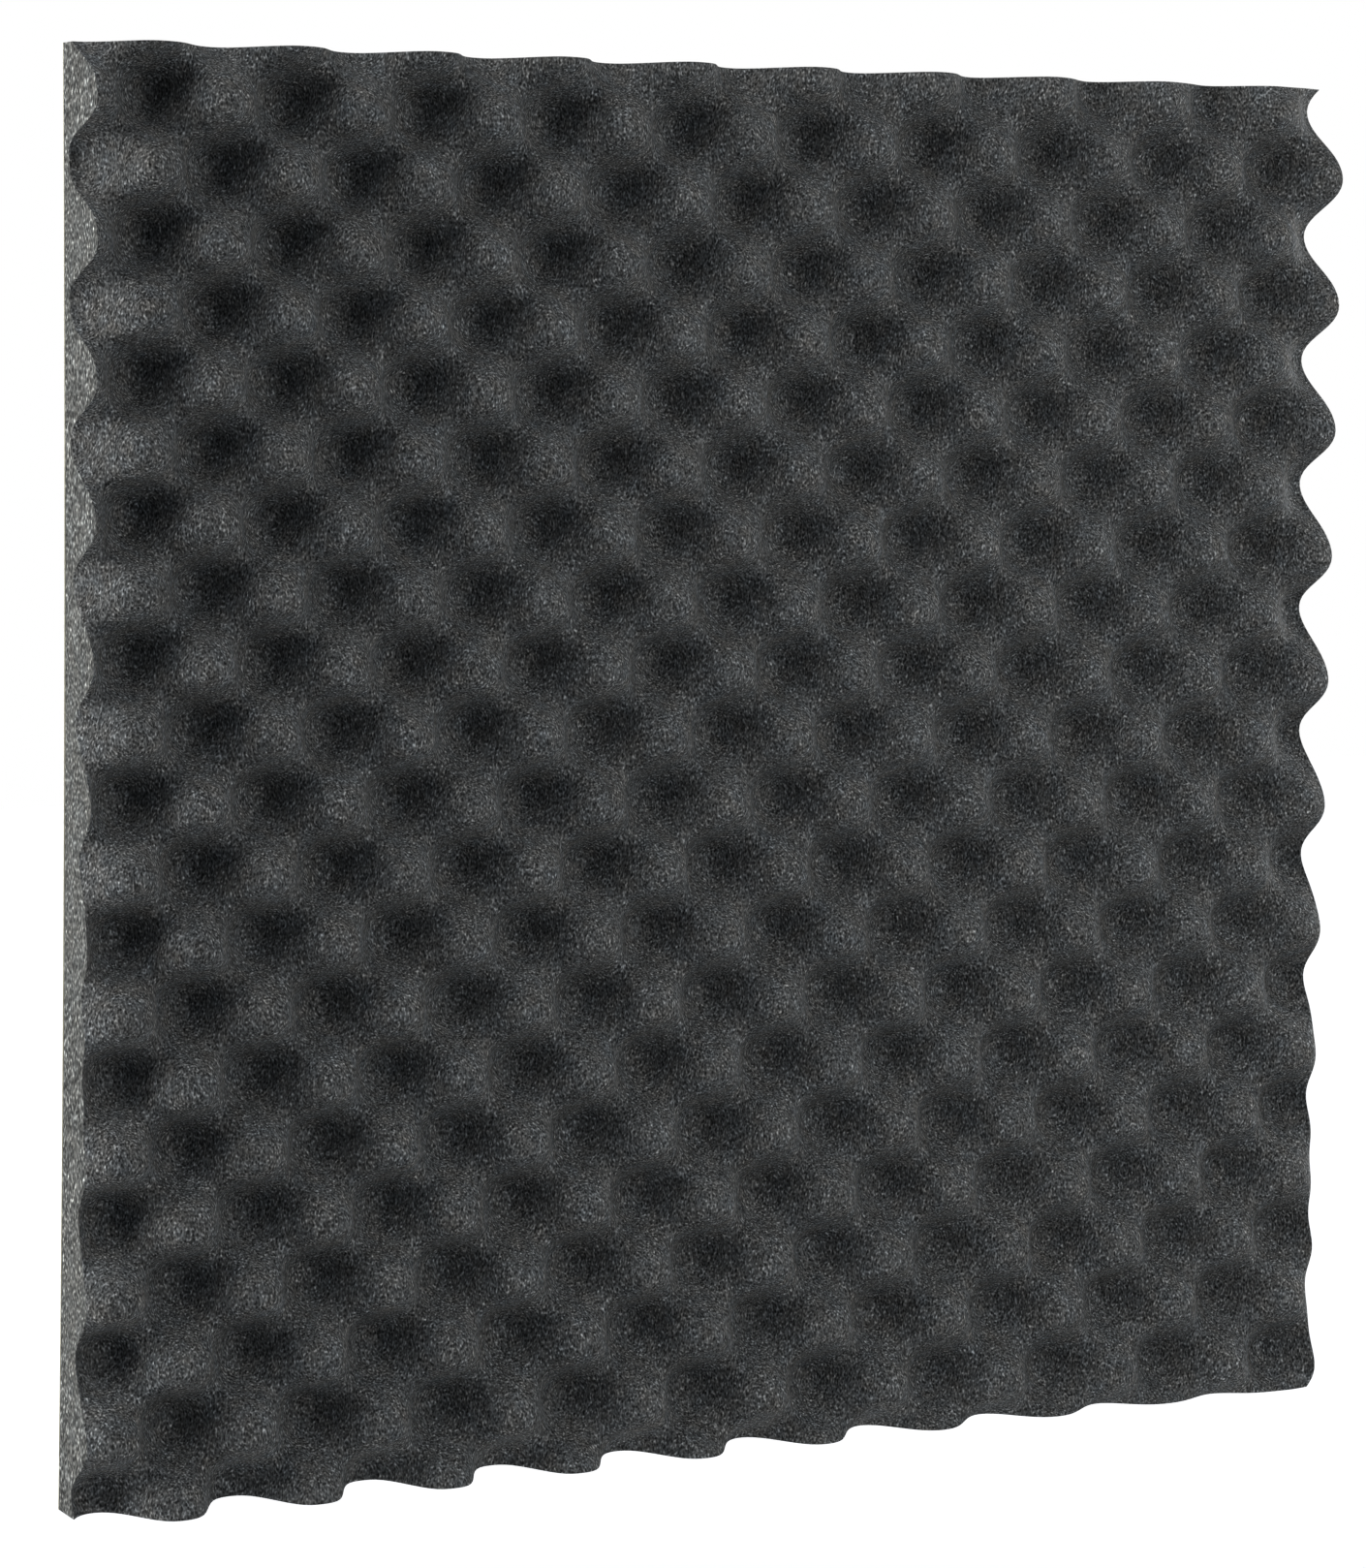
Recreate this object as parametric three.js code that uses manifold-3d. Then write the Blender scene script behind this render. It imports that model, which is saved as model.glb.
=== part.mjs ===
import * as THREE from 'three';
import { mergeVertices } from 'three/addons/utils/BufferGeometryUtils.js';
import Module from 'manifold-3d';

// Self-adhesive acoustic foam panel, in millimetres.
// +X is right, +Z is up and the waves face -Y. The origin is the middle of the face that goes to
// the wall, so every layer lies at -Y of it: release liner, adhesive film, foam.

// The square that is cut from a larger sheet
const panelWidth = 500;
const panelHeight = 500;
const linerThickness = 0.15;
const filmThickness = 0.2;
const foamDepth = 33; // from the film to the top of a wave
const foamUnderDimple = 8.4; // foam left at the bottom of a dimple

// Foam springs back after the cut, so each edge is drawn in at its middle
const drawnInLeft = 1.15;
const drawnInRight = 1.35;
const drawnInBottom = 1.5;
const drawnInTop = 0.25;
const edgeSteps = 8;

// The waves: tops and dimples alternate both ways, like a chessboard
const wavePitchAcross = 49.95; // from one top to the next in a row
const wavePitchDown = 47.7;
const waveTurn = THREE.MathUtils.degToRad(1.95); // the sheet wasn't square to the cutter
const firstTopFromLeft = 25.8; // place of one wave top from the top left corner
const firstTopFromTop = -6.5;
const samplesPerWave = 5; // along a diagonal, from one top to the next

// How a wave differs from a plain cosine, as shares of its height
const midFlankShare = -0.062;
const crownShare = 0.154;
const ridgeShare = -0.065;

// The liner is slit so that a narrow strip comes off first
const stripWidth = 120;
const slitWidth = 0.5;

const cutterOverrun = 5; // how far a cutting body passes the faces that it cuts

const wallY = 0;
const filmY = wallY - linerThickness;
const foamY = filmY - filmThickness;

const wasm = await Module();
wasm.setup();

function toSolid(geometry) {
  const bare = geometry.clone();
  bare.deleteAttribute('normal');
  bare.deleteAttribute('uv');
  const merged = mergeVertices(bare);
  return new wasm.Manifold(new wasm.Mesh({
    numProp: 3,
    vertProperties: new Float32Array(merged.attributes.position.array),
    triVerts: new Uint32Array(merged.index.array),
  }));
}

function toGeometry(solid) {
  const mesh = solid.getMesh();
  const geometry = new THREE.BufferGeometry();
  geometry.setAttribute('position', new THREE.BufferAttribute(new Float32Array(mesh.vertProperties), 3));
  geometry.setIndex(new THREE.BufferAttribute(new Uint32Array(mesh.triVerts), 1));
  return flatShaded(geometry);
}

function flatShaded(geometry) {
  const loose = geometry.toNonIndexed();
  loose.computeVertexNormals();
  return loose;
}

// A parabola that is 0 at both corners of an edge and drawnIn at its middle
function drawIn(drawnIn, along, length) {
  const share = along / length;
  return drawnIn * 4 * share * (1 - share);
}

// Edges of the cut square, each as a function of the place along it
const bottomEdge = (x) => -panelHeight / 2 + drawIn(drawnInBottom, x + panelWidth / 2, panelWidth);
const topEdge = (x) => panelHeight / 2 - drawIn(drawnInTop, x + panelWidth / 2, panelWidth);
const leftEdge = (z) => -panelWidth / 2 + drawIn(drawnInLeft, z + panelHeight / 2, panelHeight);
const rightEdge = (z) => panelWidth / 2 - drawIn(drawnInRight, z + panelHeight / 2, panelHeight);
const straightEdge = (x) => () => x;

// Outline in X and Z between two side edges, anticlockwise from the front
function outline(left, right) {
  const corner = panelHeight / 2;
  const points = [];
  const share = (step) => step / edgeSteps;
  for (let step = 0; step < edgeSteps; step += 1) {
    const x = THREE.MathUtils.lerp(left(-corner), right(-corner), share(step));
    points.push(new THREE.Vector2(x, bottomEdge(x)));
  }
  const rightFoot = bottomEdge(right(-corner));
  const rightHead = topEdge(right(corner));
  for (let step = 0; step < edgeSteps; step += 1) {
    const z = THREE.MathUtils.lerp(rightFoot, rightHead, share(step));
    points.push(new THREE.Vector2(right(z), z));
  }
  for (let step = 0; step < edgeSteps; step += 1) {
    const x = THREE.MathUtils.lerp(right(corner), left(corner), share(step));
    points.push(new THREE.Vector2(x, topEdge(x)));
  }
  const leftHead = topEdge(left(corner));
  const leftFoot = bottomEdge(left(-corner));
  for (let step = 0; step < edgeSteps; step += 1) {
    const z = THREE.MathUtils.lerp(leftHead, leftFoot, share(step));
    points.push(new THREE.Vector2(left(z), z));
  }
  return new THREE.Shape(points);
}

// A flat layer of the given outline between two depths, backY being the one nearer the wall
function layer(shape, backY, frontY) {
  const geometry = new THREE.ExtrudeGeometry(shape, { depth: backY - frontY, bevelEnabled: false });
  const position = geometry.attributes.position;
  for (let i = 0; i < position.count; i += 1) {
    const y = position.getZ(i) > 0 ? frontY : backY;
    position.setXYZ(i, position.getX(i), y, position.getY(i));
  }
  geometry.computeVertexNormals();
  return geometry;
}

// Foam thickness, with across and down counted in half waves from a wave top
function foamThickness(across, down) {
  const cosAcross = Math.cos(Math.PI * across);
  const cosDown = Math.cos(Math.PI * down);
  const wave = cosAcross * cosDown;
  const level = (1 + wave) / 2;
  const flank = midFlankShare * (1 - wave ** 2);
  const crown = crownShare * wave * (1 - wave ** 2);
  const ridge = ridgeShare * (cosAcross ** 2 + cosDown ** 2 - 2);
  return foamUnderDimple + (foamDepth - foamUnderDimple) * (level + flank + crown + ridge);
}

// Tops lie along both diagonals of the sheet, so its grid follows these. Both diagonals are counted
// from one top to the next: falling runs down to the right, rising up to the right.
function diagonalToSheet(falling, rising) {
  return { across: falling + rising, down: falling - rising };
}

// A place on the sheet, in half waves, seen on the cut square, which is turned against it
function sheetToPanel({ across, down }) {
  const a = across * wavePitchAcross / 2;
  const b = down * wavePitchDown / 2;
  const fromLeft = firstTopFromLeft + a * Math.cos(waveTurn) - b * Math.sin(waveTurn);
  const fromTop = firstTopFromTop + a * Math.sin(waveTurn) + b * Math.cos(waveTurn);
  return { x: fromLeft - panelWidth / 2, z: panelHeight / 2 - fromTop };
}

function panelToDiagonal(x, z) {
  const right = x + panelWidth / 2 - firstTopFromLeft;
  const below = panelHeight / 2 - z - firstTopFromTop;
  const across = (right * Math.cos(waveTurn) + below * Math.sin(waveTurn)) / (wavePitchAcross / 2);
  const down = (below * Math.cos(waveTurn) - right * Math.sin(waveTurn)) / (wavePitchDown / 2);
  return { falling: (across + down) / 2, rising: (across - down) / 2 };
}

// First and last sample along one diagonal, so that the sheet passes every corner of the cutter
function sampleSpan(diagonal) {
  const reachX = panelWidth / 2 + cutterOverrun;
  const reachZ = panelHeight / 2 + cutterOverrun;
  const corners = [[-reachX, -reachZ], [-reachX, reachZ], [reachX, -reachZ], [reachX, reachZ]];
  const samples = corners.map(([x, z]) => panelToDiagonal(x, z)[diagonal] * samplesPerWave);
  return { first: Math.floor(Math.min(...samples)), last: Math.ceil(Math.max(...samples)) };
}

// The convoluted sheet before it is cut: a grid of samples in front, a flat fan behind
function wavySheet() {
  const falling = sampleSpan('falling');
  const rising = sampleSpan('rising');
  const rows = rising.last - rising.first + 1;
  const columns = falling.last - falling.first + 1;
  const positions = [];
  const faces = [];

  for (let row = 0; row < rows; row += 1) {
    for (let column = 0; column < columns; column += 1) {
      const alongFalling = (falling.first + column) / samplesPerWave;
      const alongRising = (rising.first + row) / samplesPerWave;
      const spot = diagonalToSheet(alongFalling, alongRising);
      const { x, z } = sheetToPanel(spot);
      positions.push(x, foamY - foamThickness(spot.across, spot.down), z);
    }
  }
  const front = (row, column) => row * columns + column;
  for (let row = 0; row < rows - 1; row += 1) {
    for (let column = 0; column < columns - 1; column += 1) {
      const start = front(row, column);
      const beyond = front(row + 1, column + 1);
      faces.push(start, front(row, column + 1), beyond);
      faces.push(start, beyond, front(row + 1, column));
    }
  }

  // Rim of the grid, anticlockwise from the front, with a copy of it on the flat back
  const rim = [];
  for (let column = 0; column < columns - 1; column += 1) rim.push(front(0, column));
  for (let row = 0; row < rows - 1; row += 1) rim.push(front(row, columns - 1));
  for (let column = columns - 1; column > 0; column -= 1) rim.push(front(rows - 1, column));
  for (let row = rows - 1; row > 0; row -= 1) rim.push(front(row, 0));
  const firstBack = positions.length / 3;
  for (const vertex of rim) positions.push(positions[3 * vertex], foamY, positions[3 * vertex + 2]);
  const middle = positions.length / 3;
  positions.push(0, foamY, 0);
  rim.forEach((vertex, n) => {
    const next = (n + 1) % rim.length;
    faces.push(vertex, firstBack + n, firstBack + next);
    faces.push(vertex, firstBack + next, rim[next]);
    faces.push(firstBack + n, middle, firstBack + next);
  });

  const geometry = new THREE.BufferGeometry();
  geometry.setAttribute('position', new THREE.Float32BufferAttribute(positions, 3));
  geometry.setIndex(faces);
  return geometry;
}

function foamSlab() {
  const square = layer(outline(leftEdge, rightEdge), foamY + cutterOverrun, foamY - foamDepth - cutterOverrun);
  return toGeometry(toSolid(wavySheet()).intersect(toSolid(square)));
}

function adhesiveFilm() {
  return layer(outline(leftEdge, rightEdge), filmY, foamY);
}

const slitX = -panelWidth / 2 + stripWidth;

function linerStrip() {
  return layer(outline(leftEdge, straightEdge(slitX - slitWidth / 2)), wallY, filmY);
}

function linerSheet() {
  return layer(outline(straightEdge(slitX + slitWidth / 2), rightEdge), wallY, filmY);
}

const charcoalFoam = new THREE.MeshStandardMaterial({ color: 0x45474a, roughness: 1, metalness: 0 });
const clearGlue = new THREE.MeshStandardMaterial({ color: 0xd8d2bc, roughness: 0.35, metalness: 0 });
const waxedPaper = new THREE.MeshStandardMaterial({ color: 0xe9e3cf, roughness: 0.55, metalness: 0 });

const panel = new THREE.Group();
panel.name = 'acoustic_foam_panel';
const pieces = [
  ['foam_slab', foamSlab(), charcoalFoam],
  ['adhesive_film', adhesiveFilm(), clearGlue],
  ['release_liner_strip', linerStrip(), waxedPaper],
  ['release_liner_sheet', linerSheet(), waxedPaper.clone()],
];
for (const [name, geometry, material] of pieces) {
  const mesh = new THREE.Mesh(geometry, material);
  mesh.name = name;
  panel.add(mesh);
}

export default panel;
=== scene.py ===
import math

import bmesh
import bpy
from mathutils import Matrix, Vector


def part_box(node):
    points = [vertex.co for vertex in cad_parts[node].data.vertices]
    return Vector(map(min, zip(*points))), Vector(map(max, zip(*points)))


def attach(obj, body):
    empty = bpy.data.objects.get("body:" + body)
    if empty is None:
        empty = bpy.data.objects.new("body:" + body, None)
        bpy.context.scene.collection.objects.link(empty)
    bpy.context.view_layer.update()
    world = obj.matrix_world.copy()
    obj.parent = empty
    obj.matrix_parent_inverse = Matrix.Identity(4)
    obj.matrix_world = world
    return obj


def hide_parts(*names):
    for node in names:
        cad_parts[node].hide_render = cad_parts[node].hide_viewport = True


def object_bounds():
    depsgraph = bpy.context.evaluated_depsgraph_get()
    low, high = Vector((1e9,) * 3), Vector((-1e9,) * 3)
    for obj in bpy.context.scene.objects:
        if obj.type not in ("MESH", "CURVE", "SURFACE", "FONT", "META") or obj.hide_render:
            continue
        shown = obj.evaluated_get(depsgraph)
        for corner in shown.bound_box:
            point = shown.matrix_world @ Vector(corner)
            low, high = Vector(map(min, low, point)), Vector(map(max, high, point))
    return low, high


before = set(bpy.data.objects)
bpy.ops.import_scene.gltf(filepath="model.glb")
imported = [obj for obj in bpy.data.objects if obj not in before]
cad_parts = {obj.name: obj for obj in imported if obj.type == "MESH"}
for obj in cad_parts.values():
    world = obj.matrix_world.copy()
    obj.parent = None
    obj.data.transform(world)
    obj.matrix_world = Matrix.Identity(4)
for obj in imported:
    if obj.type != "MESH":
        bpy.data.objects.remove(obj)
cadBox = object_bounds()
bodyName = "root"


def joinSocket(tree, value, socket):
    # A socket is linked, anything else is written on the input itself
    if isinstance(value, bpy.types.NodeSocket):
        tree.links.new(value, socket)
    elif value is not None:
        socket.default_value = value


def addNode(tree, kind, inputs=(), **settings):
    node = tree.nodes.new(kind)
    for name, value in settings.items():
        setattr(node, name, value)
    for key, value in dict(inputs).items():
        joinSocket(tree, value, node.inputs[key])
    return node


def reckon(tree, operation, *values, clamp=False):
    node = tree.nodes.new("ShaderNodeMath")
    node.operation = operation
    node.use_clamp = clamp
    for socket, value in zip(node.inputs, values):
        joinSocket(tree, value, socket)
    return node.outputs[0]


def swingOf(tree, noise):
    # Noise of 0 to 1 as a swing of -1 to 1
    return reckon(tree, "MULTIPLY", reckon(tree, "SUBTRACT", noise, 0.5), 2.0)


def addSocket(tree, name, kind, direction="INPUT", value=None):
    socket = tree.interface.new_socket(name=name, in_out=direction, socket_type=kind)
    if value is not None:
        socket.default_value = value
    return socket


def makeGroup(name, kind, inputs, outputs):
    tree = bpy.data.node_groups.new(name, kind)
    for socketName, socketKind, value in inputs:
        addSocket(tree, socketName, socketKind, "INPUT", value)
    for socketName, socketKind in outputs:
        addSocket(tree, socketName, socketKind, "OUTPUT")
    start = tree.nodes.new("NodeGroupInput")
    end = tree.nodes.new("NodeGroupOutput")
    return tree, start, end


def placeGroup(tree, group, **values):
    node = tree.nodes.new("ShaderNodeGroup")
    node.node_tree = group
    for name, value in values.items():
        joinSocket(tree, value, node.inputs[name])
    return node


# Holes and struts of the foam; a swing of 1 doubles the tone, a darkness of 1 halves it
cellForm = {
    "rise": 1.6,  # cells are taller than wide
    "holeCore": 0.25,  # all hole up to here, in cells from its middle
    "holeEdge": 0.6,  # no hole from here on
    "holeDarkness": 1.0,  # of the palest hole
    "holeSpread": 2.0,  # from the palest hole to the darkest
    "strutsPerCell": 1.2,
    "strutSwing": 6.0,
    "paintedGlintFrom": 0.6,  # noise above which a strut gets a painted glint
    # brightness of the painted glint, colour standing in for light caught on a strut
    "paintedGlintSwing": 6.0,
    "shift": 0.75,  # keeps the mean tone near 1
}


def makeOpenCells():
    # Cut open-cell foam: pale struts round dark holes, and on a few struts a painted glint, bright
    # colour standing in for the light they catch
    group, start, end = makeGroup(
        "openCells",
        "ShaderNodeTree",
        [
            ("Cell Size", "NodeSocketFloat", 0.001),
            ("Rise", "NodeSocketFloat", cellForm["rise"]),
            ("Contrast", "NodeSocketFloat", 1.0),
        ],
        [("Tone", "NodeSocketFloat"), ("Height", "NodeSocketFloat")],
    )
    place = addNode(group, "ShaderNodeTexCoord").outputs["Object"]
    density = reckon(group, "DIVIDE", 1.0, start.outputs["Cell Size"])
    flatter = reckon(group, "DIVIDE", 1.0, start.outputs["Rise"])
    stretch = addNode(group, "ShaderNodeCombineXYZ", {"X": 1.0, "Y": 1.0, "Z": flatter})
    risen = addNode(
        group, "ShaderNodeVectorMath", {0: place, 1: stretch.outputs[0]}, operation="MULTIPLY"
    ).outputs[0]

    cells = addNode(
        group, "ShaderNodeTexVoronoi", {"Vector": risen, "Scale": density, "Randomness": 1.0},
        voronoi_dimensions="3D", feature="F1",
    )
    reach = cells.outputs["Distance"]
    hole = addNode(
        group, "ShaderNodeMapRange",
        {
            "Value": reach,
            "From Min": cellForm["holeCore"],
            "From Max": cellForm["holeEdge"],
            "To Min": 1.0,
            "To Max": 0.0,
        },
        interpolation_type="SMOOTHSTEP",
    ).outputs["Result"]
    chance = addNode(group, "ShaderNodeSeparateColor", {"Color": cells.outputs["Color"]}).outputs[0]
    strutDensity = reckon(group, "MULTIPLY", density, cellForm["strutsPerCell"])
    struts = addNode(
        group, "ShaderNodeTexNoise", {"Vector": risen, "Scale": strutDensity, "Detail": 0.0}
    ).outputs["Fac"]

    # Tone swings about 1: holes lie below it, pale struts above it, and painted glints (bright specks
    # of colour standing in for caught light) well above
    depth = reckon(group, "MULTIPLY_ADD", chance, cellForm["holeSpread"], cellForm["holeDarkness"])
    darkness = reckon(group, "MULTIPLY", hole, depth)
    strutsAndPaintedGlint = reckon(group, "MULTIPLY", reckon(group, "SUBTRACT", struts, 0.5), cellForm["strutSwing"])
    # painted glint: the brightest struts get lighter colour, standing in for light they catch
    paintedGlint = reckon(group, "MAXIMUM", reckon(group, "SUBTRACT", struts, cellForm["paintedGlintFrom"]), 0.0)
    strutsAndPaintedGlint = reckon(group, "MULTIPLY_ADD", paintedGlint, cellForm["paintedGlintSwing"], strutsAndPaintedGlint)
    swing = reckon(group, "ADD", reckon(group, "SUBTRACT", strutsAndPaintedGlint, darkness), cellForm["shift"])
    tone = reckon(group, "POWER", 2.0, reckon(group, "MULTIPLY", swing, start.outputs["Contrast"]))
    group.links.new(tone, end.inputs["Tone"])
    height = reckon(group, "SUBTRACT", reckon(group, "MULTIPLY", struts, 2.0), darkness)
    group.links.new(height, end.inputs["Height"])
    return group


def makeToneDrift():
    # Slow change of shade over a piece, and a fainter one between a warm and a cool cast
    group, start, end = makeGroup(
        "toneDrift",
        "ShaderNodeTree",
        [
            ("Color", "NodeSocketColor", (0.5, 0.5, 0.5, 1.0)),
            ("Patch Size", "NodeSocketFloat", 0.06),
            ("Amount", "NodeSocketFloat", 0.1),
            ("Cast Size", "NodeSocketFloat", 0.006),
            ("Cast", "NodeSocketFloat", 0.05),
            ("Seed", "NodeSocketFloat", 1.0),
        ],
        [("Color", "NodeSocketColor")],
    )
    place = addNode(group, "ShaderNodeTexCoord").outputs["Object"]
    patches = addNode(
        group, "ShaderNodeTexNoise",
        {
            "Vector": place,
            "W": start.outputs["Seed"],
            "Scale": reckon(group, "DIVIDE", 1.0, start.outputs["Patch Size"]),
            "Detail": 3.0,
        },
        noise_dimensions="4D",
    ).outputs["Fac"]
    shade = reckon(group, "MULTIPLY_ADD", swingOf(group, patches), start.outputs["Amount"], 1.0)
    casts = addNode(
        group, "ShaderNodeTexNoise",
        {
            "Vector": place,
            "W": reckon(group, "ADD", start.outputs["Seed"], 5.0),
            "Scale": reckon(group, "DIVIDE", 1.0, start.outputs["Cast Size"]),
            "Detail": 1.0,
        },
        noise_dimensions="4D",
    ).outputs["Fac"]
    lean = reckon(group, "MULTIPLY", swingOf(group, casts), start.outputs["Cast"])
    red = reckon(group, "MULTIPLY", shade, reckon(group, "ADD", 1.0, lean))
    blue = reckon(group, "MULTIPLY", shade, reckon(group, "SUBTRACT", 1.0, lean))
    tint = addNode(group, "ShaderNodeCombineColor", {0: red, 1: shade, 2: blue}).outputs[0]
    mixed = addNode(
        group, "ShaderNodeMix", {"Factor": 1.0, 6: start.outputs["Color"], 7: tint},
        data_type="RGBA", blend_type="MULTIPLY",
    )
    group.links.new(mixed.outputs[2], end.inputs["Color"])
    return group


openCells = makeOpenCells()
toneDrift = makeToneDrift()


def newMaterial(name):
    material = bpy.data.materials.new(name)
    material.use_nodes = True
    return material, material.node_tree, material.node_tree.nodes["Principled BSDF"]


waveFinish = {
    "color": (0.0612, 0.0624, 0.0617, 1.0),
    "cellSize": 0.00085,
    "cellContrast": 0.6,
    "bumpDepth": 0.00012,
    "patchSize": 0.07,
    "patchAmount": 0.04,
    "cast": 0.09,
    "roughness": 0.95,
    "specular": 0.02,
    "sheen": 0.0,
    "seed": 2.0,
}

# Foam of the cut faces: larger cells and stronger grain than the wave face, and a lighter colour that
# is painted light, standing in for the strong light on the cut side
paintedLitCutFinish = {
    "color": (0.0668, 0.0676, 0.0636, 1.0),
    "cellSize": 0.0011,
    "cellContrast": 0.75,
    "bumpDepth": 0.0001,
    "patchSize": 0.04,
    "patchAmount": 0.08,
    "cast": 0.05,
    "roughness": 0.95,
    "specular": 0.02,
    "sheen": 0.06,
    "seed": 9.0,
}


def makeFoamMaterial(name, finish):
    material, tree, shader = newMaterial(name)
    drift = placeGroup(tree, toneDrift, **{
        "Color": finish["color"],
        "Patch Size": finish["patchSize"],
        "Amount": finish["patchAmount"],
        "Cast": finish["cast"],
        "Seed": finish["seed"],
    })
    cells = placeGroup(tree, openCells, **{
        "Cell Size": finish["cellSize"],
        "Contrast": finish["cellContrast"],
    })
    tone = cells.outputs["Tone"]
    grey = addNode(tree, "ShaderNodeCombineColor", {0: tone, 1: tone, 2: tone}).outputs[0]
    color = addNode(
        tree, "ShaderNodeMix", {"Factor": 1.0, 6: drift.outputs["Color"], 7: grey},
        data_type="RGBA", blend_type="MULTIPLY",
    )
    bump = addNode(
        tree, "ShaderNodeBump",
        {"Strength": 1.0, "Distance": finish["bumpDepth"], "Height": cells.outputs["Height"]},
    )
    tree.links.new(color.outputs[2], shader.inputs["Base Color"])
    tree.links.new(bump.outputs["Normal"], shader.inputs["Normal"])
    shader.inputs["Roughness"].default_value = finish["roughness"]
    shader.inputs["Specular IOR Level"].default_value = finish["specular"]
    shader.inputs["Sheen Weight"].default_value = finish["sheen"]
    return material


waveFoam = makeFoamMaterial("waveFoam", waveFinish)
# the cut faces' material, painted lighter than the wave foam
paintedLitCutFoam = makeFoamMaterial("paintedLitCutFoam", paintedLitCutFinish)
print("foam finishes made")


foamLow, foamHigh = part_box("foam_slab")
foamSizes = {
    "Width": foamHigh.x - foamLow.x,
    "Height": foamHigh.z - foamLow.z,
    "Layers Behind": -foamHigh.y,  # film and liner, between the foam and the wall
    "Depth": foamHigh.y - foamLow.y,
    "Under Dimple": 0.00805,
    "Under Dimple To Right": 0.0014,  # added from the panel's middle to its right edge
    "Under Dimple To Top": -0.0012,
    "Pitch Across": 0.05,
    "Pitch Down": 0.04771,
    "Turn": math.radians(1.873),  # the sheet wasn't square to the cutter
    "First Top From Left": 0.0254,
    "First Top From Top": -0.0062,
    "Mid Flank": -0.0188,  # shares of the wave's height, on top of a plain cosine
    "Mid Flank To Right": 0.028,
    "Crown": 0.141,
    "Crown To Right": -0.092,
    "Ridge": -0.0308,
    "Ridge Difference": -0.0178,
    "Diagonal": -0.0104,  # ridges along one diagonal stand lower than along the other
    "Skew Across": -0.0272,  # waves lean a little, dimples one way and tops the other
    "Skew Across To Top": -0.026,
    "Skew Down": 0.0413,
    "Drawn In Left": 0.0015,  # each cut edge at its middle
    "Drawn In Right": 0.0014,
    "Drawn In Bottom": 0.0011,
    "Drawn In Top": 0.0001,
    "Samples": 251,  # along each side
    "Stray": 0.0004,  # about how far the waves wander from their grid
    "Stray Scale": 14.0,  # noise cells in a metre
    "Unevenness": 0.00012,
    "Unevenness Scale": 45.0,
    "Seed": 3.0,
}
foamWallRows = 5
foamRimRadius = 0.0003
foamCornerAngle = math.radians(70)  # cut edges that turn by more are rounded like the rim
foamJoin = 0.00001  # points closer than this are made one
strayGain = 4.0  # the noise seldom leaves 0.25 to 0.75


def markCut(tree, geometry, selection):
    # The faces that get the cut faces' material, with its painted lighter colour, at the end of the
    # tree
    return addNode(
        tree, "GeometryNodeStoreNamedAttribute",
        {"Geometry": geometry, "Selection": selection, "Name": "cutFace", "Value": 1.0},
        data_type="FLOAT", domain="FACE",
    ).outputs[0]


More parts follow.
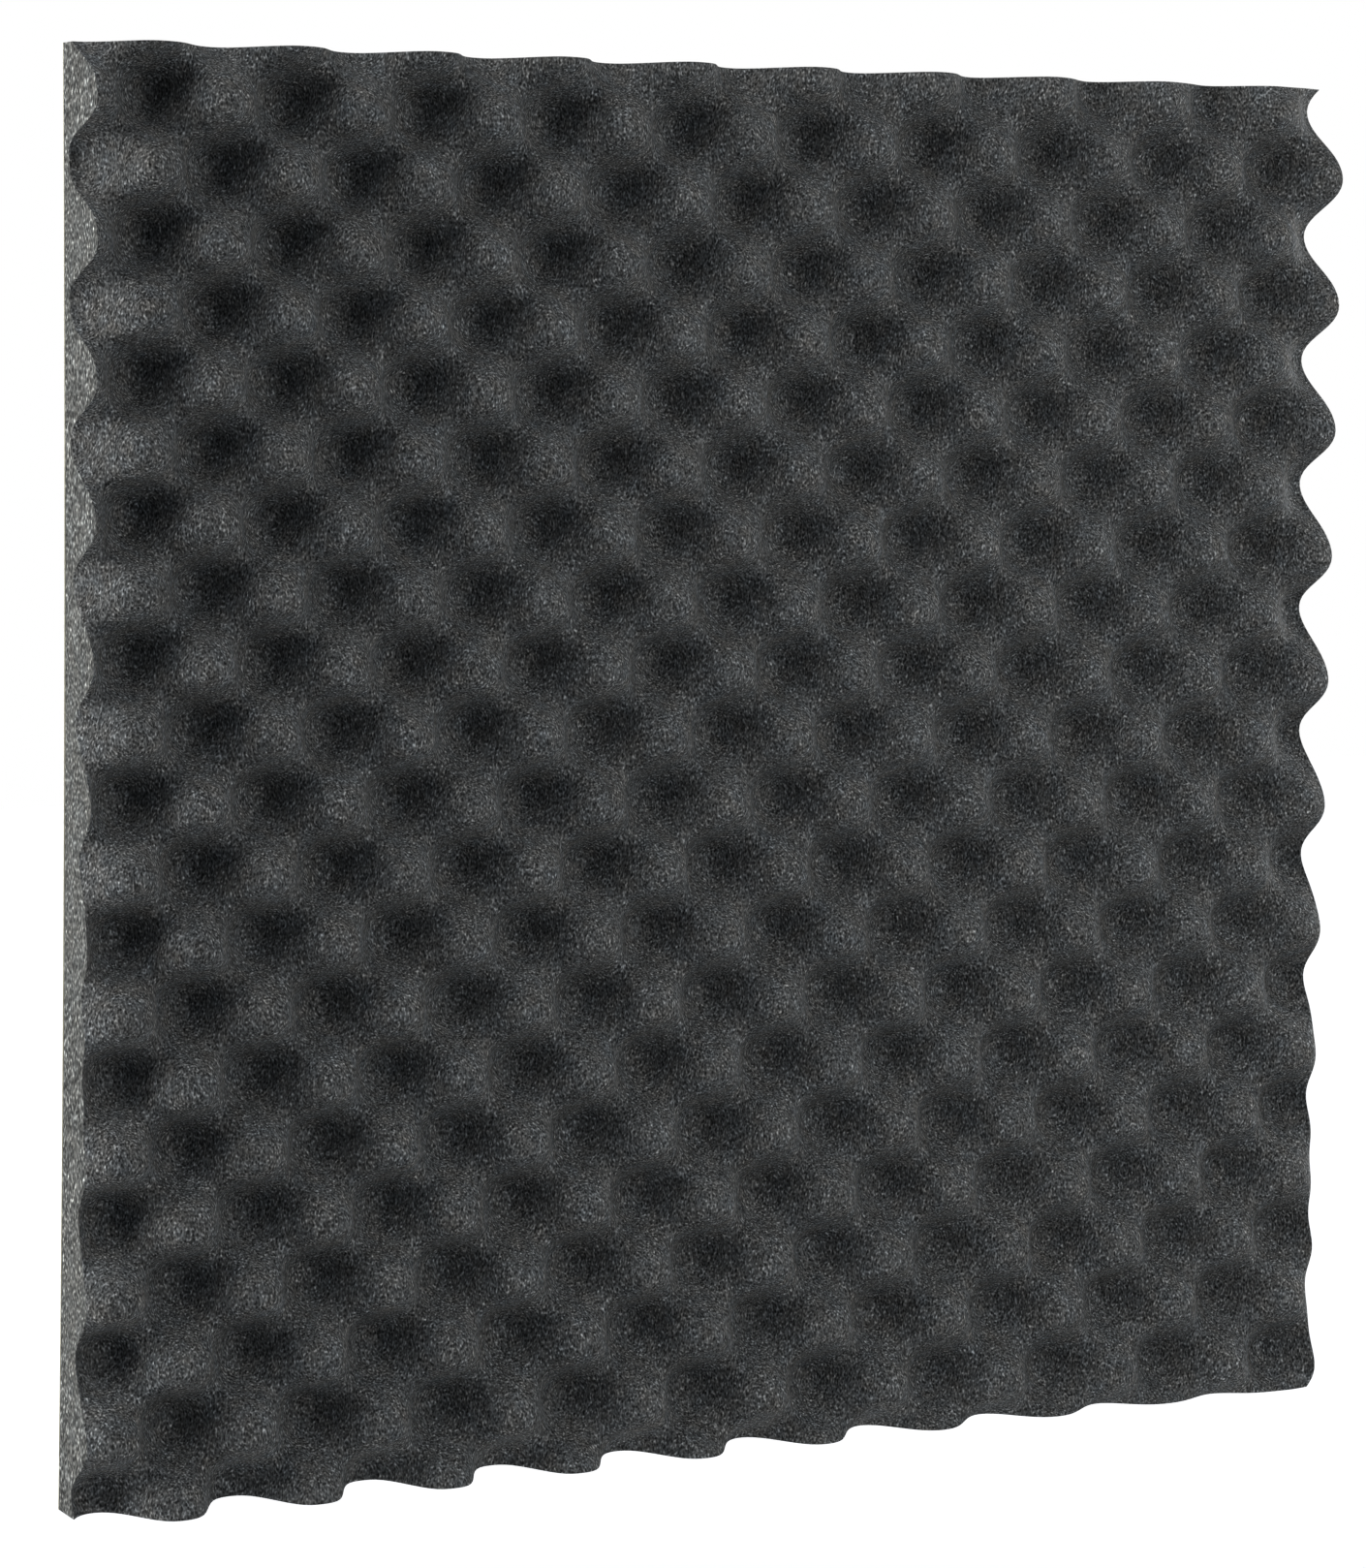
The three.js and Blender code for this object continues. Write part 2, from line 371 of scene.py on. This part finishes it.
def makeFoamWaves():
    inputs = []
    for name, value in foamSizes.items():
        kind = "NodeSocketInt" if name == "Samples" else "NodeSocketFloat"
        inputs.append((name, kind, value))
    for name in ("Wave Material", "Cut Material"):
        inputs.append((name, "NodeSocketMaterial", None))
    tree, start, end = makeGroup(
        "foamWaves", "GeometryNodeTree", inputs, [("Geometry", "NodeSocketGeometry")]
    )
    size = start.outputs

    # A flat grid, seen from the front: x to the right, y up, z towards the viewer
    grid = addNode(
        tree, "GeometryNodeMeshGrid",
        {"Size X": 1.0, "Size Y": 1.0, "Vertices X": size["Samples"], "Vertices Y": size["Samples"]},
    )
    spot = addNode(tree, "GeometryNodeInputPosition").outputs[0]
    parts = addNode(tree, "ShaderNodeSeparateXYZ", {0: spot})
    right = reckon(tree, "ADD", parts.outputs["X"], 0.5)
    up = reckon(tree, "ADD", parts.outputs["Y"], 0.5)
    left = reckon(tree, "SUBTRACT", 1.0, right)
    down = reckon(tree, "SUBTRACT", 1.0, up)

    # The cut square, with each edge drawn in at its middle
    bowAcross = reckon(tree, "MULTIPLY", reckon(tree, "MULTIPLY", up, down), 4.0)
    bowDown = reckon(tree, "MULTIPLY", reckon(tree, "MULTIPLY", left, right), 4.0)
    pullRight = reckon(
        tree, "SUBTRACT",
        reckon(tree, "MULTIPLY", size["Drawn In Left"], left),
        reckon(tree, "MULTIPLY", size["Drawn In Right"], right),
    )
    pullUp = reckon(
        tree, "SUBTRACT",
        reckon(tree, "MULTIPLY", size["Drawn In Bottom"], down),
        reckon(tree, "MULTIPLY", size["Drawn In Top"], up),
    )
    flatX = reckon(tree, "MULTIPLY", parts.outputs["X"], size["Width"])
    flatY = reckon(tree, "MULTIPLY", parts.outputs["Y"], size["Height"])
    cutX = reckon(tree, "MULTIPLY_ADD", bowAcross, pullRight, flatX)
    cutY = reckon(tree, "MULTIPLY_ADD", bowDown, pullUp, flatY)

    # The waves stray a little from their grid
    flat = addNode(tree, "ShaderNodeCombineXYZ", {"X": cutX, "Y": cutY, "Z": 0.0}).outputs[0]
    stray = addNode(
        tree, "ShaderNodeTexNoise",
        {"Vector": flat, "W": size["Seed"], "Scale": size["Stray Scale"], "Detail": 1.0},
        noise_dimensions="4D",
    )
    drift = addNode(tree, "ShaderNodeSeparateXYZ", {0: stray.outputs["Color"]})
    strayX = reckon(tree, "MULTIPLY", reckon(tree, "SUBTRACT", drift.outputs[0], 0.5), size["Stray"])
    strayY = reckon(tree, "MULTIPLY", reckon(tree, "SUBTRACT", drift.outputs[1], 0.5), size["Stray"])
    fromLeft = reckon(tree, "MULTIPLY_ADD", size["Width"], 0.5, cutX)
    fromLeft = reckon(tree, "SUBTRACT", fromLeft, size["First Top From Left"])
    fromLeft = reckon(tree, "MULTIPLY_ADD", strayX, strayGain, fromLeft)
    fromTop = reckon(tree, "SUBTRACT", reckon(tree, "MULTIPLY", size["Height"], 0.5), cutY)
    fromTop = reckon(tree, "SUBTRACT", fromTop, size["First Top From Top"])
    fromTop = reckon(tree, "MULTIPLY_ADD", strayY, strayGain, fromTop)

    # Turned onto the sheet, as angles in which a wave is a whole turn
    cosTurn = reckon(tree, "COSINE", size["Turn"])
    sinTurn = reckon(tree, "SINE", size["Turn"])
    across = reckon(
        tree, "ADD",
        reckon(tree, "MULTIPLY", fromLeft, cosTurn),
        reckon(tree, "MULTIPLY", fromTop, sinTurn),
    )
    along = reckon(
        tree, "SUBTRACT",
        reckon(tree, "MULTIPLY", fromTop, cosTurn),
        reckon(tree, "MULTIPLY", fromLeft, sinTurn),
    )
    wholeTurn = 2 * math.pi
    across = reckon(tree, "DIVIDE", reckon(tree, "MULTIPLY", across, wholeTurn), size["Pitch Across"])
    along = reckon(tree, "DIVIDE", reckon(tree, "MULTIPLY", along, wholeTurn), size["Pitch Down"])
    cosAcross = reckon(tree, "COSINE", across)
    cosAlong = reckon(tree, "COSINE", along)
    wave = reckon(tree, "MULTIPLY", cosAcross, cosAlong)

    # The cut wasn't quite even: its form changes a little to the right and to the top
    toRight = reckon(tree, "MULTIPLY", parts.outputs["X"], 2.0)
    toTop = reckon(tree, "MULTIPLY", parts.outputs["Y"], 2.0)
    midFlank = reckon(tree, "MULTIPLY_ADD", toRight, size["Mid Flank To Right"], size["Mid Flank"])
    crown = reckon(tree, "MULTIPLY_ADD", toRight, size["Crown To Right"], size["Crown"])
    skewAcross = reckon(tree, "MULTIPLY_ADD", toTop, size["Skew Across To Top"], size["Skew Across"])
    under = reckon(tree, "MULTIPLY_ADD", toRight, size["Under Dimple To Right"], size["Under Dimple"])
    under = reckon(tree, "MULTIPLY_ADD", toTop, size["Under Dimple To Top"], under)

    # Thickness: a plain wave, then its flank, crown, ridges and lean, each by its share
    level = reckon(tree, "MULTIPLY_ADD", wave, 0.5, 0.5)
    flank = reckon(tree, "SUBTRACT", 1.0, reckon(tree, "MULTIPLY", wave, wave))
    squareAcross = reckon(tree, "MULTIPLY", cosAcross, cosAcross)
    squareAlong = reckon(tree, "MULTIPLY", cosAlong, cosAlong)
    squares = reckon(tree, "ADD", squareAcross, squareAlong)
    diagonal = reckon(tree, "MULTIPLY", reckon(tree, "SINE", across), reckon(tree, "SINE", along))
    terms = (
        (flank, midFlank),
        (reckon(tree, "MULTIPLY", wave, flank), crown),
        (reckon(tree, "SUBTRACT", squares, 2.0), size["Ridge"]),
        (reckon(tree, "SUBTRACT", squareAcross, squareAlong), size["Ridge Difference"]),
        (diagonal, size["Diagonal"]),
        (reckon(tree, "SINE", reckon(tree, "MULTIPLY", across, 2.0)), skewAcross),
        (reckon(tree, "SINE", reckon(tree, "MULTIPLY", along, 2.0)), size["Skew Down"]),
    )
    for term, share in terms:
        level = reckon(tree, "MULTIPLY_ADD", term, share, level)
    swell = reckon(tree, "SUBTRACT", size["Depth"], under)
    thickness = reckon(tree, "MULTIPLY_ADD", level, swell, under)
    uneven = addNode(
        tree, "ShaderNodeTexNoise",
        {"Vector": flat, "W": size["Seed"], "Scale": size["Unevenness Scale"], "Detail": 2.0},
        noise_dimensions="4D",
    ).outputs["Fac"]
    thickness = reckon(tree, "MULTIPLY_ADD", swingOf(tree, uneven), size["Unevenness"], thickness)
    front = reckon(tree, "ADD", thickness, size["Layers Behind"])

    raisedSpot = addNode(tree, "ShaderNodeCombineXYZ", {"X": cutX, "Y": cutY, "Z": front}).outputs[0]
    raised = addNode(
        tree, "GeometryNodeSetPosition",
        {"Geometry": grid.outputs["Mesh"], "Position": raisedSpot},
    )

    # Walls go back from the rim in rows, then the flat back closes them
    neighbors = addNode(tree, "GeometryNodeInputMeshEdgeNeighbors").outputs[0]
    rim = reckon(tree, "COMPARE", neighbors, 1.0, 0.1)
    body = raised.outputs[0]
    wall = rim
    for row in range(foamWallRows):
        extruded = addNode(
            tree, "GeometryNodeExtrudeMesh",
            {"Mesh": body, "Selection": wall, "Offset Scale": 0.0},
            mode="EDGES",
        )
        here = addNode(
            tree, "ShaderNodeSeparateXYZ", {0: addNode(tree, "GeometryNodeInputPosition").outputs[0]}
        )
        rowsLeft = foamWallRows - row
        nextZ = reckon(
            tree, "ADD",
            reckon(tree, "MULTIPLY", here.outputs["Z"], (rowsLeft - 1) / rowsLeft),
            reckon(tree, "MULTIPLY", size["Layers Behind"], 1 / rowsLeft),
        )
        moved = addNode(
            tree, "GeometryNodeSetPosition",
            {
                "Geometry": extruded.outputs["Mesh"],
                "Selection": extruded.outputs["Top"],
                "Position": addNode(
                    tree, "ShaderNodeCombineXYZ",
                    {"X": here.outputs["X"], "Y": here.outputs["Y"], "Z": nextZ},
                ).outputs[0],
            },
        )
        body = markCut(tree, moved.outputs[0], extruded.outputs["Side"])
        wall = extruded.outputs["Top"]
    loop = addNode(tree, "GeometryNodeMeshToCurve", {"Mesh": body, "Selection": wall}).outputs[0]
    sheet = addNode(tree, "GeometryNodeFillCurve", {"Curve": loop}, mode="NGONS").outputs[0]
    lift = addNode(tree, "ShaderNodeCombineXYZ", {"Z": size["Layers Behind"]}).outputs[0]
    back = addNode(tree, "GeometryNodeTransform", {"Geometry": sheet, "Translation": lift}).outputs[0]
    back = addNode(tree, "GeometryNodeFlipFaces", {"Mesh": back}).outputs[0]
    back = markCut(tree, back, True)
    back = addNode(
        tree, "GeometryNodeSetShadeSmooth", {"Geometry": back, "Shade Smooth": False}, domain="FACE"
    ).outputs[0]
    both = tree.nodes.new("GeometryNodeJoinGeometry")
    tree.links.new(back, both.inputs[0])
    tree.links.new(body, both.inputs[0])
    closed = addNode(
        tree, "GeometryNodeMergeByDistance", {"Geometry": both.outputs[0], "Distance": foamJoin}
    ).outputs[0]

    # Round the rim, where a wave face meets a cut one, and the corners between two cuts
    isCut = addNode(tree, "GeometryNodeInputNamedAttribute", {"Name": "cutFace"}, data_type="FLOAT")
    isCut = isCut.outputs["Attribute"]
    angle = addNode(tree, "GeometryNodeInputMeshEdgeAngle").outputs["Unsigned Angle"]
    corner = reckon(tree, "GREATER_THAN", angle, foamCornerAngle)
    onRim = reckon(tree, "COMPARE", isCut, 0.5, 0.1)
    rounded = reckon(tree, "MAXIMUM", onRim, corner)
    closed = addNode(
        tree, "GeometryNodeStoreNamedAttribute",
        {"Geometry": closed, "Name": "bevel_weight_edge", "Value": rounded},
        data_type="FLOAT", domain="EDGE",
    ).outputs[0]
    upright = addNode(
        tree, "GeometryNodeTransform", {"Geometry": closed, "Rotation": (math.radians(90), 0.0, 0.0)}
    ).outputs[0]
    real = addNode(tree, "GeometryNodeRealizeInstances", {"Geometry": upright}).outputs[0]
    dressed = addNode(
        tree, "GeometryNodeSetMaterial", {"Geometry": real, "Material": size["Wave Material"]}
    ).outputs[0]
    dressed = addNode(
        tree, "GeometryNodeSetMaterial",
        {"Geometry": dressed, "Selection": isCut, "Material": size["Cut Material"]},
    ).outputs[0]
    tree.links.new(dressed, end.inputs["Geometry"])
    return tree


def meshFromNodes(name, tree, values):
    # Runs the tree on an empty mesh and returns a plain object with the result
    holder = bpy.data.objects.new(name + "Maker", bpy.data.meshes.new(name + "Maker"))
    bpy.context.scene.collection.objects.link(holder)
    modifier = holder.modifiers.new("maker", "NODES")
    modifier.node_group = tree
    for item in tree.interface.items_tree:
        if item.item_type == "SOCKET" and item.in_out == "INPUT":
            modifier[item.identifier] = values[item.name]
    graph = bpy.context.evaluated_depsgraph_get()
    mesh = bpy.data.meshes.new_from_object(
        holder.evaluated_get(graph), preserve_all_data_layers=True, depsgraph=graph
    )
    bpy.data.objects.remove(holder)
    mesh.name = name
    while mesh.materials and mesh.materials[0] is None:  # the tree leaves an empty first slot
        mesh.materials.pop(index=0)
    piece = bpy.data.objects.new(name, mesh)
    bpy.context.scene.collection.objects.link(piece)
    return piece


def makeFoam():
    values = {**foamSizes, "Wave Material": waveFoam, "Cut Material": paintedLitCutFoam}
    foam = meshFromNodes("foam", makeFoamWaves(), values)
    bevel = foam.modifiers.new("rim", "BEVEL")
    bevel.limit_method = "WEIGHT"
    bevel.width = foamRimRadius
    bevel.segments = 2
    bevel.harden_normals = True
    return foam


foam = makeFoam()
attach(foam, bodyName)
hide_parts("foam_slab")
print("foam made", len(foam.data.polygons), "faces")


glueFinish = {
    "color": (0.68, 0.64, 0.5, 1.0),
    "patchSize": 0.02,
    "patchAmount": 0.12,
    "castSize": 0.03,
    "cast": 0.03,
    "roughness": 0.35,
    "seed": 4.0,
}

paperFinish = {
    "color": (0.8, 0.77, 0.66, 1.0),
    "patchSize": 0.12,
    "patchAmount": 0.05,
    "castSize": 0.05,
    "cast": 0.02,
    "fibreSize": 0.0006,
    "fibreAmount": 0.05,
    "fibreDepth": 0.00004,
    "fibreStrength": 0.3,
    "cockleSize": 0.07,
    "cockleDepth": 0.0016,
    "roughness": 0.5,
    "seed": 6.0,
}


def makeGlue():
    material, tree, shader = newMaterial("clearGlue")
    drift = placeGroup(tree, toneDrift, **{
        "Color": glueFinish["color"],
        "Patch Size": glueFinish["patchSize"],
        "Amount": glueFinish["patchAmount"],
        "Cast Size": glueFinish["castSize"],
        "Cast": glueFinish["cast"],
        "Seed": glueFinish["seed"],
    })
    tree.links.new(drift.outputs["Color"], shader.inputs["Base Color"])
    shader.inputs["Roughness"].default_value = glueFinish["roughness"]
    return material


def makeLinerPaper():
    material, tree, shader = newMaterial("linerPaper")
    place = addNode(tree, "ShaderNodeTexCoord").outputs["Object"]
    drift = placeGroup(tree, toneDrift, **{
        "Color": paperFinish["color"],
        "Patch Size": paperFinish["patchSize"],
        "Amount": paperFinish["patchAmount"],
        "Cast Size": paperFinish["castSize"],
        "Cast": paperFinish["cast"],
        "Seed": paperFinish["seed"],
    })
    fibres = addNode(
        tree, "ShaderNodeTexNoise",
        {
            "Vector": place,
            "Scale": 1 / paperFinish["fibreSize"],
            "Detail": 3.0,
            "Roughness": 0.6,
            "Distortion": 1.5,
        },
    ).outputs["Fac"]
    shade = reckon(tree, "MULTIPLY_ADD", swingOf(tree, fibres), paperFinish["fibreAmount"], 1.0)
    grey = addNode(tree, "ShaderNodeCombineColor", {0: shade, 1: shade, 2: shade}).outputs[0]
    color = addNode(
        tree, "ShaderNodeMix", {"Factor": 1.0, 6: drift.outputs["Color"], 7: grey},
        data_type="RGBA", blend_type="MULTIPLY",
    )
    cockle = addNode(
        tree, "ShaderNodeTexNoise",
        {"Vector": place, "Scale": 1 / paperFinish["cockleSize"], "Detail": 1.5},
    ).outputs["Fac"]
    wide = addNode(
        tree, "ShaderNodeBump",
        {"Strength": 1.0, "Distance": paperFinish["cockleDepth"], "Height": cockle},
    )
    fine = addNode(
        tree, "ShaderNodeBump",
        {
            "Strength": paperFinish["fibreStrength"],
            "Distance": paperFinish["fibreDepth"],
            "Height": fibres,
            "Normal": wide.outputs["Normal"],
        },
    )
    tree.links.new(color.outputs[2], shader.inputs["Base Color"])
    tree.links.new(fine.outputs["Normal"], shader.inputs["Normal"])
    shader.inputs["Roughness"].default_value = paperFinish["roughness"]
    return material


def dressNode(nodeName, material):
    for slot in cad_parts[nodeName].material_slots:
        slot.material = material


dressNode("adhesive_film", makeGlue())
linerPaper = makeLinerPaper()
dressNode("release_liner_strip", linerPaper)
dressNode("release_liner_sheet", linerPaper)
print("film and liner dressed")


floorPlan = {
    "below": 0.62,
    "size": 16.0,
    "color": (0.82, 0.82, 0.82, 1.0),
    "roughness": 0.9,
    "specular": 0.1,
    "glowNear": 0.35,  # what the camera sees on top of the light that falls there
    "glowFar": 1.0,
    "nearRadius": 1.2,
    "farRadius": 3.0,
}


def makeFloor():
    level = cadBox[0].z - floorPlan["below"]
    half = floorPlan["size"] / 2
    mesh = bpy.data.meshes.new("floor")
    build = bmesh.new()
    corners = ((-half, -half), (half, -half), (half, half), (-half, half))
    build.faces.new([build.verts.new((x, y, level)) for x, y in corners])
    build.to_mesh(mesh)
    build.free()
    floor = bpy.data.objects.new("floor", mesh)
    bpy.context.scene.collection.objects.link(floor)

    material, tree, shader = newMaterial("paleFloor")
    shader.inputs["Base Color"].default_value = floorPlan["color"]
    shader.inputs["Roughness"].default_value = floorPlan["roughness"]
    shader.inputs["Specular IOR Level"].default_value = floorPlan["specular"]
    seen = seenRays(tree)
    place = addNode(tree, "ShaderNodeTexCoord").outputs["Object"]
    reach = addNode(tree, "ShaderNodeVectorMath", {0: place}, operation="LENGTH").outputs["Value"]
    glowLevel = addNode(
        tree, "ShaderNodeMapRange",
        {
            "Value": reach,
            "From Min": floorPlan["nearRadius"],
            "From Max": floorPlan["farRadius"],
            "To Min": floorPlan["glowNear"],
            "To Max": floorPlan["glowFar"],
        },
        interpolation_type="SMOOTHSTEP",
    ).outputs["Result"]
    strength = reckon(tree, "MULTIPLY", seen, glowLevel)
    glow = addNode(tree, "ShaderNodeEmission", {"Strength": strength})
    both = tree.nodes.new("ShaderNodeAddShader")
    tree.links.new(shader.outputs[0], both.inputs[0])
    tree.links.new(glow.outputs[0], both.inputs[1])
    tree.links.new(both.outputs[0], tree.nodes["Material Output"].inputs["Surface"])
    mesh.materials.append(material)
    return floor


def seenRays(tree):
    # 1 for rays that end in the camera, straight or by a mirror or glass
    path = tree.nodes.new("ShaderNodeLightPath")
    direct = reckon(tree, "ADD", path.outputs["Is Camera Ray"], path.outputs["Is Glossy Ray"])
    return reckon(tree, "ADD", direct, path.outputs["Is Transmission Ray"], clamp=True)


roomLight = {"color": (0.78, 1.0, 1.28, 1.0), "strength": 0.1}


def makeRoom():
    world = bpy.data.worlds.new("room")
    bpy.context.scene.world = world
    world.use_nodes = True
    tree = world.node_tree
    background = tree.nodes["Background"]
    background.inputs["Color"].default_value = roomLight["color"]
    background.inputs["Strength"].default_value = roomLight["strength"]
    white = addNode(tree, "ShaderNodeBackground", {"Color": (1.0, 1.0, 1.0, 1.0), "Strength": 1.0})
    choice = addNode(tree, "ShaderNodeMixShader", {0: seenRays(tree)})
    tree.links.new(background.outputs[0], choice.inputs[1])
    tree.links.new(white.outputs[0], choice.inputs[2])
    tree.links.new(choice.outputs[0], tree.nodes["World Output"].inputs["Surface"])


# Softboxes, each aimed at the panel's middle; level is what white would show if it faced the box
softBoxes = {
    "keyLight": {"place": (0.5, -1.0, 0.27), "width": 0.7, "height": 1.4, "level": 0.787},
    "upperLight": {"place": (-1.87, -0.68, 1.67), "width": 1.4, "height": 1.4, "level": 0.4},
    "leftLight": {"place": (-1.4, 0.2, 0.1), "width": 0.6, "height": 1.4, "level": 0.976},
    "leftTopLight": {"place": (-0.6, 0.1, 1.0), "width": 0.8, "height": 0.8, "level": 0.284},
    "rightLight": {"place": (1.0, 0.1, 0.2), "width": 0.8, "height": 0.8, "level": 1.005},
}


def makeSoftBoxes():
    middle = (cadBox[0] + cadBox[1]) / 2
    for name, box in softBoxes.items():
        toBox = Vector(box["place"]) - middle
        lamp = bpy.data.lights.new(name, "AREA")
        lamp.shape = "RECTANGLE"
        lamp.size = box["width"]
        lamp.size_y = box["height"]
        lamp.energy = box["level"] * (math.pi * toBox.length) ** 2
        lampObject = bpy.data.objects.new(name, lamp)
        lampObject.location = box["place"]
        lampObject.rotation_euler = (-toBox).to_track_quat("-Z", "Y").to_euler()
        lampObject.visible_camera = False
        bpy.context.scene.collection.objects.link(lampObject)


# A pinhole camera fitted to the panel's outline and its dimples in the photograph
photoCamera = {
    "place": (-0.78335, -1.50244, 0.15321),
    "turn": 27.1412,  # to the right of +Y, degrees
    "tilt": -2.9878,
    "roll": 0.5812,
    "focalPixels": 4820.16,
    "photoHeight": 1618,
    "axisRow": 598.95,  # the row of the photograph that the lens axis meets
}


def makeCamera():
    turn, tilt, roll = (math.radians(photoCamera[key]) for key in ("turn", "tilt", "roll"))
    ahead = Vector((math.sin(turn) * math.cos(tilt), math.cos(turn) * math.cos(tilt), math.sin(tilt)))
    level = Vector((math.cos(turn), -math.sin(turn), 0.0))
    above = level.cross(ahead)
    right = level * math.cos(roll) + above * math.sin(roll)
    up = above * math.cos(roll) - level * math.sin(roll)
    lens = bpy.data.cameras.new("camera")
    camera = bpy.data.objects.new("camera", lens)
    bpy.context.scene.collection.objects.link(camera)
    turned = Matrix((right, up, -ahead)).transposed().to_4x4()
    camera.matrix_world = Matrix.Translation(photoCamera["place"]) @ turned
    height = photoCamera["photoHeight"]
    lens.lens = photoCamera["focalPixels"] * lens.sensor_width / height
    lens.shift_y = (photoCamera["axisRow"] - height / 2) / height
    lens.clip_start = 0.05
    lens.clip_end = 50.0
    bpy.context.scene.camera = camera


makeFloor()
makeRoom()
makeSoftBoxes()
makeCamera()
bpy.context.scene.view_settings.view_transform = "Standard"
print("floor, lights and camera made")
